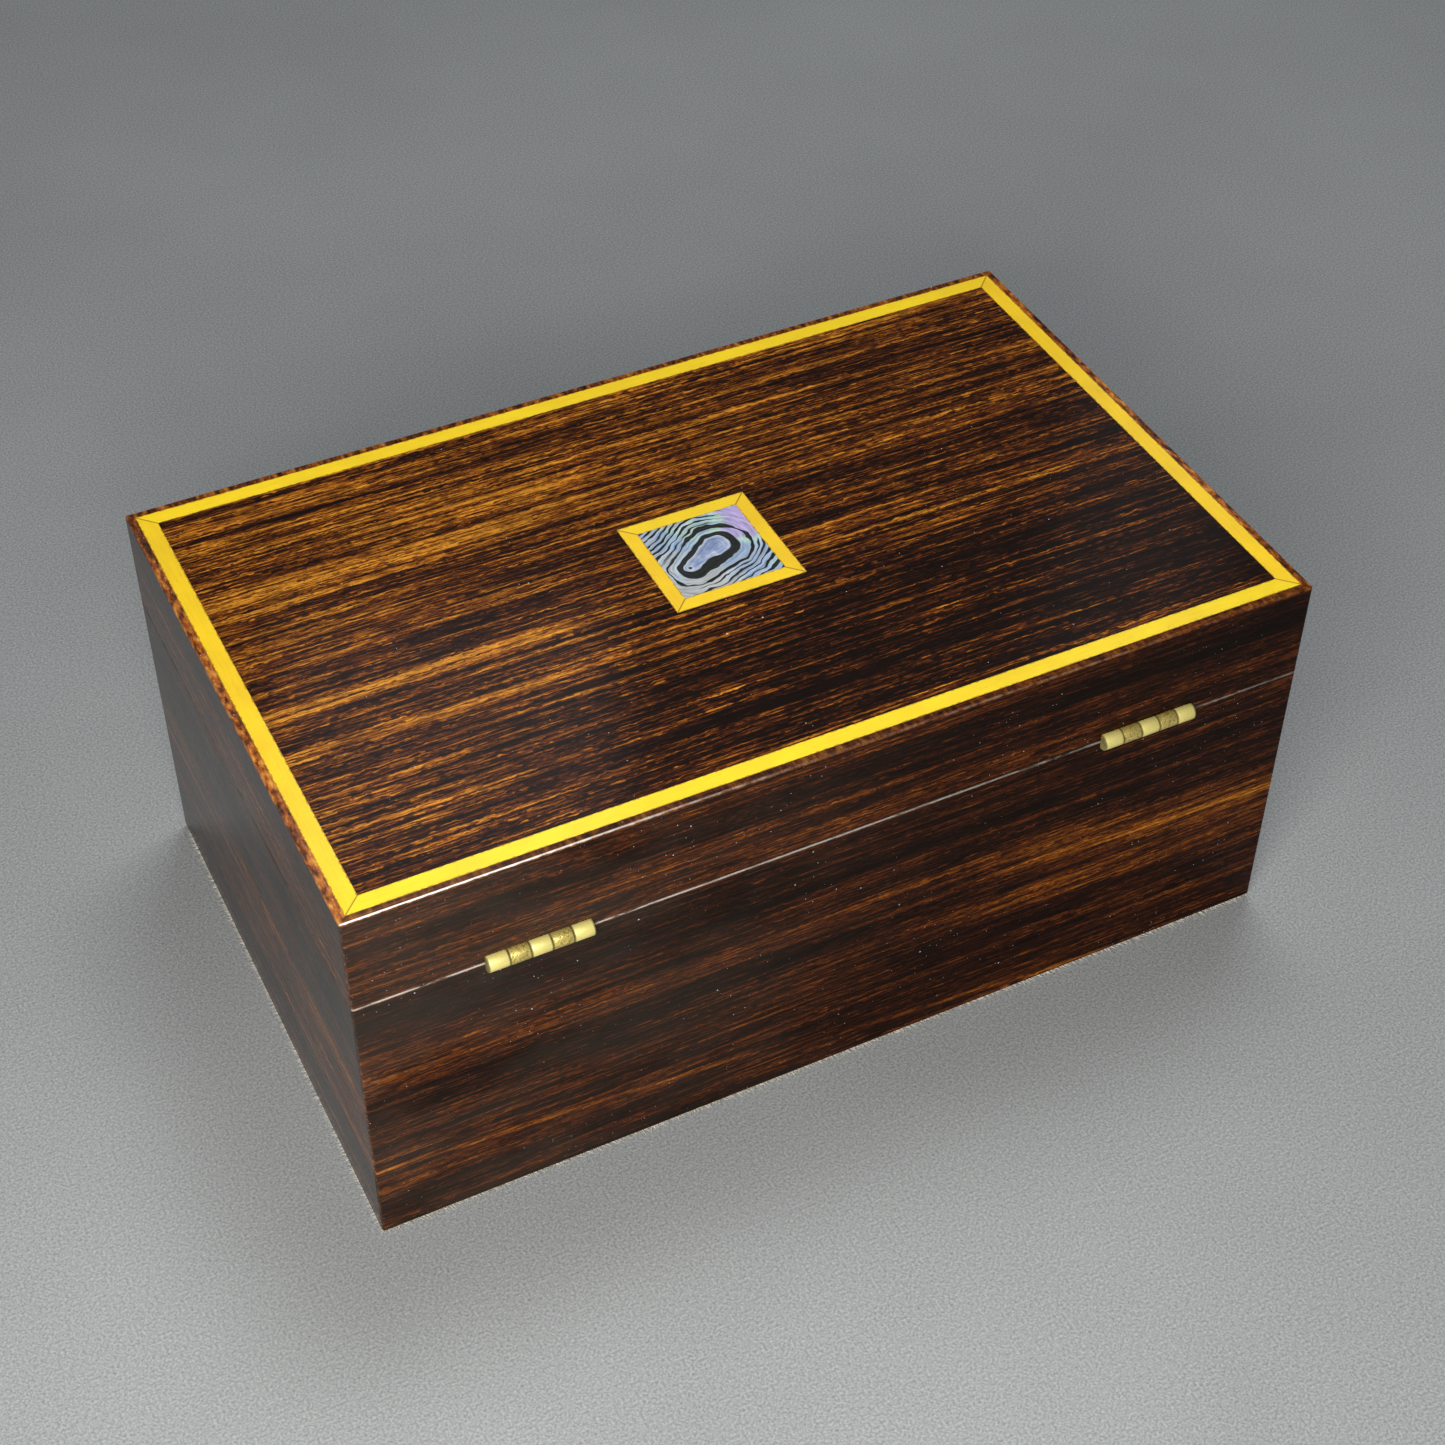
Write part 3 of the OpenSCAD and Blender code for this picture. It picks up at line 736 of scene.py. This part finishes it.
def shell_pattern(g):
    """Banded shell: a pearly heart in a thick black ring, a thin ring, and lines in two corners."""
    x, y, _ = g.split(g.place())
    flat = g.join(g.math("MULTIPLY", x, -1.0), y, 0)
    ripple = g.noise(flat, (0.2, 0.2, 1), 2, 0.5, output="Color")
    ripple = g.vector("SUBTRACT", ripple, (0.5, 0.5, 0.5))
    bent = g.vector("ADD", flat, g.vector("MULTIPLY", ripple, (2.2, 2.2, 0)))
    tip, lobe = Vector((-6.3, 3.2, 0)), Vector((2.2, -1.4, 0))
    spine = lobe - tip
    from_tip = g.vector("SUBTRACT", bent, tuple(tip))
    share = g.math("DIVIDE", g.vector("DOT_PRODUCT", from_tip, tuple(spine)), spine.length_squared)
    share = g.clamp(share, 0.0, 1.0)
    nearest = g.vector("MULTIPLY", g.grey(share), tuple(spine))
    reach = g.vector("LENGTH", g.vector("SUBTRACT", from_tip, nearest))
    depth = g.math("SUBTRACT", reach, g.span(share, 0, 1, 1.5, 3.0, False))
    across = spine.normalized().cross(Vector((0, 0, -1)))
    notch = g.vector("DISTANCE", bent, tuple(tip + spine * 0.42 + across * 3.4))
    inner = g.add(depth, g.span(notch, 3.4, 0.8, 0, 1.5))
    side = g.vector("DOT_PRODUCT", from_tip, tuple(across))
    ring_width = g.span(side, -5, 4, 1.2, 2.3)
    inside = g.span(g.math("SUBTRACT", ring_width, depth), -0.1, 0.1)
    ring = g.times(g.span(inner, -0.1, 0.1), inside)
    loop_off = g.math("ABSOLUTE", g.math("SUBTRACT", depth, g.span(side, -5, 5, 3.3, 4.7, False)))
    lobe_side = g.span(share, 0.5, 1.0, 0.0, 0.45)
    uneven = g.span(g.noise(flat, (0.2, 0.2, 1), 2, 0.5, (3, 3, 0)), 0.35, 0.65, 0.14, 0.5)
    loop_width = g.add(uneven, g.times(lobe_side, g.span(side, 1, -3)))
    loop = g.span(g.math("SUBTRACT", loop_width, loop_off), -0.08, 0.08)
    swell = g.times(g.noise(flat, (0.11, 0.11, 1), 1), 2.6)
    wave = g.math("SINE", g.times(g.add(depth, swell), 4.6))
    thick = g.span(g.noise(flat, (0.22, 0.22, 1), 2, 0.5, (6, 1, 0)), 0.35, 0.65, 0.75, -0.1)
    lines = g.span(g.math("SUBTRACT", wave, thick), -0.1, 0.15)
    corner = g.span(g.math("ABSOLUTE", side), 5.2, 6.6)
    beyond = g.math("SUBTRACT", depth, g.span(side, -5, 5, 4.2, 5.6, False))
    lines = g.times(lines, corner, g.span(beyond, 0, 0.3))
    eye = g.vector("DISTANCE", flat, tuple(tip - spine * 0.03))
    black = g.math("MAXIMUM", ring, g.span(eye, 0.5, 0.3))
    black = g.math("MAXIMUM", black, g.math("MAXIMUM", loop, lines))
    heart = g.span(inner, 0.2, -0.2)
    rim = g.times(g.math("MAXIMUM", g.span(inner, -0.9, -0.15), g.span(eye, 1.1, 0.7)), heart)
    return flat, depth, side, black, heart, rim


class PUZZLEBOX_OT_shell(bpy.types.Operator):
    """Square of banded shell in the middle of the lid"""

    bl_idname = "puzzlebox.shell"
    bl_label = "Shell inlay"

    def execute(self, context):
        def build(g):
            flat, depth, side, black, heart, rim = shell_pattern(g)
            u, v, _ = g.split(flat)
            to_corner = g.add(g.times(u, 0.016), g.times(v, -0.018))
            hue = g.add(g.noise(flat, (0.12, 0.12, 1), 3, 0.6, (2, 5, 0)), to_corner)
            pearl = g.ramp(
                hue,
                [
                    (0.18, linear("#b9bcbc")), (0.36, linear("#bfcbd4")), (0.5, linear("#a3bbe0")),
                    (0.6, linear("#b3d0dc")), (0.67, linear("#bfe0c8")), (0.76, linear("#bdb4e4")),
                    (0.92, linear("#cbb8ec")),
                ],
            )
            core = g.ramp(
                g.noise(flat, (0.35, 0.35, 1), 3, 0.6, (7, 2, 0)),
                [(0.3, linear("#7c90bb")), (0.5, linear("#98a9cf")), (0.7, linear("#c3cde0"))],
            )
            pearl = g.mix(heart, pearl, g.mix(g.times(rim, 0.5), core, linear("#dfe5ec")))
            growth = g.noise(g.join(depth, side, 0), (1.6, 0.22, 1), 3, 0.65)
            shade = g.span(growth, 0.3, 0.7, 0.62, 1.1)
            return {
                "Base Color": g.mix(black, g.shaded(pearl, shade), linear("#0b0c0b")),
                "Roughness": g.span(growth, 0.3, 0.7, 0.2, 0.4, False),
                "Metallic": g.times(g.math("SUBTRACT", 1.0, black), 0.15),
                "Normal": g.bump(g.math("SUBTRACT", growth, black), 0.2, 0.00008),
            }

        material = new_material("shell", build, Coat_Weight=0.8, Coat_Roughness=0.08)
        dress(material, "shell_inlay")
        return {"FINISHED"}


# ---- brass ----

# Knuckles along each hinge's barrel
KNUCKLES = 5


def brass_material(name, colour, pitting, rough, metal, knuckles=None):
    """Brass with turning lines, small pits and a duller film in patches.

    knuckles is where a barrel starts along X and the length of one knuckle, both in mm; painted
    shade darkens the gaps between knuckles.
    """

    def build(g):
        place = g.place()
        lines = g.noise(place, (3.5, 0.6, 0.6), 3, 0.6)
        film = g.span(g.noise(place, (0.35, 0.5, 0.5), 3, 0.6, (2, 4, 6)), 0.4, 0.65)
        spots = g.noise(place, (1.7, 1.7, 1.7), 3, 0.7, (5, 5, 1))
        pits = g.times(g.span(spots, 0.48, 0.58), pitting)
        if knuckles:
            start, pitch = knuckles
            along = g.math("SUBTRACT", g.math("ABSOLUTE", g.split(place)[0]), start)
            # Painted shade: dark lines in the gaps between the knuckles
            joint = g.span(g.math("PINGPONG", along, pitch / 2), 0.42, 0.16)
            pits = g.math("MAXIMUM", pits, joint)
        shade = g.math("SUBTRACT", 1.0, g.add(g.times(film, 0.12), g.times(pits, 0.7)))
        tint = g.mix(1.0, colour, g.join(shade, shade, g.times(shade, 0.96)), "MULTIPLY")
        dust = g.group(dust_specks(), {"Place": place, "Amount": 0.3})["Mask"]
        height = g.math("SUBTRACT", g.times(lines, 0.4), pits)
        return {
            "Base Color": g.mix(dust, tint, linear(DUST_ON_BRASS)),
            "Roughness": g.add(rough, g.times(film, 0.14), g.times(pits, 0.2)),
            "Metallic": g.math("SUBTRACT", metal, g.times(g.math("MAXIMUM", dust, pits), 0.3)),
            "Normal": g.bump(height, 0.35, 0.00008),
        }

    return new_material(name, build)


def soften_edges(*names):
    """Breaks the sharp edges of machined metal."""
    for name in names:
        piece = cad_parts[name]
        weld = piece.modifiers.new("Weld", "WELD")
        weld.merge_threshold = 0.001 * MM
        bevel = piece.modifiers.new("Bevel", "BEVEL")
        bevel.width = 0.12 * MM
        bevel.segments = 2
        bevel.limit_method = "ANGLE"
        bevel.angle_limit = math.radians(50)


class PUZZLEBOX_OT_hinges(bpy.types.Operator):
    """Two brass butt hinges with their pins and screws"""

    bl_idname = "puzzlebox.hinges"
    bl_label = "Hinges"

    def execute(self, context):
        trim = context.scene.puzzle_trim
        low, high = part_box("right_hinge_pin")
        knuckles = (low[0] / MM, (high[0] - low[0]) / KNUCKLES / MM)
        bright = brass_material("brass", trim.brass, 0.08, 0.4, 0.4, knuckles)
        worn = brass_material("worn_brass", trim.worn_brass, 0.8, 0.3, 0.65, knuckles)
        dress(bright, "right_body_leaf", "left_body_leaf", "right_hinge_pin", "left_hinge_pin")
        dress(bright, "body_hinge_screws", "lid_hinge_screws")
        dress(worn, "right_lid_leaf", "left_lid_leaf")
        soften_edges("right_body_leaf", "left_body_leaf", "right_lid_leaf", "left_lid_leaf")
        return {"FINISHED"}


class PUZZLEBOX_OT_lock(bpy.types.Operator):
    """Hidden lock: bar, hook, hook screws and the two magnets"""

    bl_idname = "puzzlebox.lock"
    bl_label = "Lock"

    def execute(self, context):
        trim = context.scene.puzzle_trim
        drawn = brass_material("drawn_brass", trim.brass, 0.4, 0.34, 0.9)
        dress(drawn, "lock_bar", "strike_hook", "hook_screws")

        def nickel(g):
            place = g.place()
            marks = g.noise(place, (1.5, 1.5, 1.5), 4, 0.7)
            shade = g.span(marks, 0.3, 0.7, 0.75, 1.05)
            return {
                "Base Color": g.shaded(linear("#b9bcc0"), shade),
                "Roughness": g.span(marks, 0.3, 0.7, 0.16, 0.34, False),
                "Normal": g.bump(marks, 0.15, 0.00005),
            }

        dress(new_material("nickel", nickel, Metallic=1.0), "wall_magnet", "panel_magnet")
        return {"FINISHED"}


# ---- plain boards ----


class PUZZLEBOX_OT_plain_boards(bpy.types.Operator):
    """Bottom board, the board under the veneer and the panel's runner, in plain wood"""

    bl_idname = "puzzlebox.plain_boards"
    bl_label = "Plain boards"

    def execute(self, context):
        bare = context.scene.puzzle_wood.bare

        def build(g):
            place = g.place()
            rings = g.noise(place, (0.01, 0.35, 0.35), 3, 0.55)
            fibre = g.noise(place, (0.08, 2.2, 2.2), 3, 0.6, (1, 2, 3))
            pores = g.span(g.noise(place, (0.25, 3.4, 3.4), 2, 0.5, (5, 1, 1)), 0.6, 0.7)
            tone = g.add(
                1.0,
                g.times(g.centred(rings), 0.7),
                g.times(g.centred(fibre), 0.35),
                g.times(pores, -0.25),
            )
            colour = g.mix(1.0, bare, g.join(tone, g.math("POWER", tone, 1.2), tone), "MULTIPLY")
            return {
                "Base Color": colour,
                "Roughness": g.span(fibre, 0.3, 0.7, 0.5, 0.68, False),
                "Normal": g.bump(g.math("SUBTRACT", fibre, pores), 0.4, 0.0001),
            }

        dress(new_material("plain_wood", build), "bottom_panel", "lid_panel", "panel_runner")
        return {"FINISHED"}


# ---- felt and velvet ----


def cloth_material(name, colour, light, scale, sheen):
    """Matted short fibres."""

    def build(g):
        place = g.place()
        tangle = g.noise(place, (scale, scale, scale), 4, 0.7)
        patch = g.noise(place, (0.09, 0.09, 0.09), 3, 0.6, (3, 2, 5))
        fibre = g.noise(place, (scale * 0.5, scale * 2, scale), 3, 0.7, (1, 8, 3))
        fibre = g.span(fibre, 0.5, 0.75)
        tone = g.span(g.add(g.times(tangle, 0.6), g.times(patch, 0.4)), 0.3, 0.7, 0.6, 1.25, False)
        return {
            "Base Color": g.mix(g.times(fibre, 0.35), g.shaded(colour, tone), light),
            "Roughness": g.span(tangle, 0.3, 0.7, 0.85, 1.0, False),
            "Normal": g.bump(tangle, 0.8, 0.0003),
        }

    return new_material(
        name, build, Sheen_Weight=sheen, Sheen_Roughness=0.4, Specular_IOR_Level=0.1
    )


def felt_fibres(length, pitch):
    """Loose fibres standing out of the felt's edge, each a thin closed spike."""
    draw = random.Random(7)
    (x0, y0, z0), (x1, y1, z1) = FELT
    corners = [(x0, y0), (x1, y0), (x1, y1), (x0, y1)]
    verts, faces = [], []
    for i, start in enumerate(corners):
        a, b = Vector((*start, 0)), Vector((*corners[(i + 1) % 4], 0))
        side = (b - a).normalized()
        out = side.cross(Vector((0, 0, 1)))
        count = int((b - a).length / pitch)
        for k in range(count):
            root = a + (b - a) * ((k + draw.random()) / count)
            root.z = z0 + (z1 - z0) * (0.15 + 0.7 * draw.random())
            lean = side * draw.uniform(-1.2, 1.2) + Vector((0, 0, draw.uniform(-0.3, 0.6)))
            reach = length * draw.uniform(0.45, 1.0)
            tip = root + (out + lean).normalized() * reach
            tip.z = max(tip.z, z0 + 0.03 * MM)
            wide = draw.uniform(0.08, 0.16) * MM
            base = len(verts)
            root -= out * 0.1 * MM
            ridge = root + Vector((0, 0, wide * 1.6))
            verts += [root - side * wide, root + side * wide, ridge, tip]
            faces += [(base, base + 2, base + 1), (base, base + 1, base + 3)]
            faces += [(base + 1, base + 2, base + 3), (base + 2, base, base + 3)]
    mesh = bpy.data.meshes.new("felt_fibres")
    mesh.from_pydata([tuple(v) for v in verts], [], faces)
    mesh.validate()
    piece = bpy.data.objects.new("felt_fibres", mesh)
    bpy.context.scene.collection.objects.link(piece)
    return piece


class PUZZLEBOX_OT_felt(bpy.types.Operator):
    """Felt under the base with its loose fibres, and velvet on the floor and under the lid"""

    bl_idname = "puzzlebox.felt"
    bl_label = "Felt and velvet"

    def execute(self, context):
        cloth = context.scene.puzzle_cloth
        dress(cloth_material("felt", cloth.felt, cloth.fuzz, 2.6, 0.3), "base_felt")
        velvet = cloth_material("velvet", cloth.velvet, linear("#7a2232"), 3.2, 0.2)
        dress(velvet, "floor_lining", "lid_lining")
        fuzz = cloth_material("felt_fuzz", cloth.fuzz, linear("#efe9da"), 3.0, 0.2)
        fibres = felt_fibres(cloth.fibre_length, cloth.fibre_pitch)
        fibres.data.materials.append(fuzz)
        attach(fibres, "box")
        return {"FINISHED"}


# ---- stage ----

# The camera's angles, and its place in lengths of the box
AZIMUTH, ELEVATION, ROLL = math.radians(153.27), math.radians(43.34), math.radians(0.39)
BOX_LENGTH = 0.222
CAMERA_DISTANCE = 2.8218 * BOX_LENGTH
CAMERA_RIGHT, CAMERA_UP = 0.0126 * BOX_LENGTH, 0.1508 * BOX_LENGTH
WARM, COOL = (1, 0.985, 0.96), (0.96, 0.98, 1)


def camera_axes():
    back = Vector(
        (
            math.sin(AZIMUTH) * math.cos(ELEVATION),
            -math.cos(AZIMUTH) * math.cos(ELEVATION),
            math.sin(ELEVATION),
        )
    )
    right = Vector((math.cos(AZIMUTH), math.sin(AZIMUTH), 0))
    return right, back.cross(right), back


def softbox(name, place, target, width, height, power, colour):
    """A softbox at a place, turned to a target."""
    data = bpy.data.lights.new(name, "AREA")
    data.shape = "RECTANGLE"
    data.size, data.size_y = width, height
    data.energy = power
    data.color = colour
    lamp = bpy.data.objects.new(name, data)
    lamp.location = place
    lamp.rotation_euler = (Vector(target) - Vector(place)).to_track_quat("-Z", "Y").to_euler()
    bpy.context.scene.collection.objects.link(lamp)


class PUZZLEBOX_OT_stage(bpy.types.Operator):
    """Floor, lights and camera"""

    bl_idname = "puzzlebox.stage"
    bl_label = "Stage"

    def execute(self, context):
        scene = context.scene
        stage = scene.puzzle_stage
        half = stage.floor_size / 2
        mesh = bpy.data.meshes.new("floor")
        around = [(-half, -half, 0), (half, -half, 0), (half, half, 0), (-half, half, 0)]
        mesh.from_pydata(around, [], [(0, 1, 2, 3)])
        floor = bpy.data.objects.new("floor", mesh)
        scene.collection.objects.link(floor)

        def paper(g):
            place = g.place()
            fibre = g.noise(place, (1.7, 1.7, 1.7), 3, 0.7)
            cloud = g.noise(place, (0.01, 0.01, 0.01), 3, 0.6, (2, 1, 4))
            tone = g.add(
                1.0,
                g.times(g.centred(fibre), 1.9),
                g.times(g.centred(cloud), 0.25),
            )
            return {
                "Base Color": g.shaded(stage.floor, tone),
                "Normal": g.bump(fibre, 0.3, 0.0003),
            }

        material = new_material("paper", paper, Roughness=0.9, Specular_IOR_Level=0.2)
        floor.data.materials.append(material)

        for name, place, target, width, height, power, colour in (
            ("key_light", (0.27, 0.42, 0.38), (0.1, 0.25, 0), 0.32, 0.2, stage.key_power, WARM),
            ("top_light", (-0.3, -0.35, 1.3), (0, 0, 0), 0.5, 0.45, stage.top_power, COOL),
            ("glint", (-0.67, -0.69, 0.85), (-0.08, 0.03, 0.1), 0.12, 0.3, stage.glint_power, COOL),
            ("sheen", (-0.16, -0.67, 0.81), (0.07, 0.03, 0.1), 0.2, 0.16, stage.sheen_power, COOL),
        ):
            softbox(name, place, target, width, height, power, colour)

        world = bpy.data.worlds.new("studio")
        world.use_nodes = True
        sky = world.node_tree.nodes["Background"]
        sky.inputs["Color"].default_value = (0.9, 0.95, 1, 1)
        sky.inputs["Strength"].default_value = 0.1
        scene.world = world
        scene.view_settings.view_transform = "Standard"

        right, up, back = camera_axes()
        turned_right = right * math.cos(ROLL) + up * math.sin(ROLL)
        turned_up = up * math.cos(ROLL) - right * math.sin(ROLL)
        data = bpy.data.cameras.new("camera")
        data.lens = stage.lens
        data.sensor_width = 36
        data.clip_start, data.clip_end = 0.01, 50
        camera = bpy.data.objects.new("camera", data)
        scene.collection.objects.link(camera)
        place = back * CAMERA_DISTANCE + right * CAMERA_RIGHT + up * CAMERA_UP
        columns = Matrix((turned_right, turned_up, back)).transposed()
        camera.matrix_world = Matrix.Translation(place) @ columns.to_4x4()
        scene.camera = camera
        return {"FINISHED"}


# ---- add-on ----


class PUZZLEBOX_PT_panel(bpy.types.Panel):
    """Sizes, colours and pieces of the puzzle box"""

    bl_idname = "PUZZLEBOX_PT_panel"
    bl_label = "Puzzle Box"
    bl_space_type = "VIEW_3D"
    bl_region_type = "UI"
    bl_category = "Puzzle Box"

    def draw(self, context):
        scene = context.scene
        for name in SETTINGS:
            column = self.layout.column()
            settings = getattr(scene, name)
            for key in settings.__annotations__:
                column.prop(settings, key)
        for operator in PIECES:
            self.layout.operator(operator.bl_idname)


SETTINGS = {
    "puzzle_wood": WoodSettings,
    "puzzle_trim": TrimSettings,
    "puzzle_cloth": ClothSettings,
    "puzzle_stage": StageSettings,
}
PIECES = (
    PUZZLEBOX_OT_back_boards,
    PUZZLEBOX_OT_front_boards,
    PUZZLEBOX_OT_end_boards,
    PUZZLEBOX_OT_top_veneer,
    PUZZLEBOX_OT_stringing,
    PUZZLEBOX_OT_shell,
    PUZZLEBOX_OT_hinges,
    PUZZLEBOX_OT_lock,
    PUZZLEBOX_OT_plain_boards,
    PUZZLEBOX_OT_felt,
    PUZZLEBOX_OT_stage,
)
CLASSES = (*SETTINGS.values(), *PIECES, PUZZLEBOX_PT_panel)


def register():
    for made in CLASSES:
        bpy.utils.register_class(made)
    for name, settings in SETTINGS.items():
        setattr(bpy.types.Scene, name, PointerProperty(type=settings))


def unregister():
    for name in SETTINGS:
        delattr(bpy.types.Scene, name)
    for made in reversed(CLASSES):
        bpy.utils.unregister_class(made)


def corners(box):
    return [[float(c) for c in corner] for corner in box]


def main():
    register()
    for operator in PIECES:
        group, name = operator.bl_idname.split(".")
        if getattr(getattr(bpy.ops, group), name)() != {"FINISHED"}:
            raise RuntimeError(f"{operator.bl_label} didn't finish")


if __name__ == "__main__":
    main()
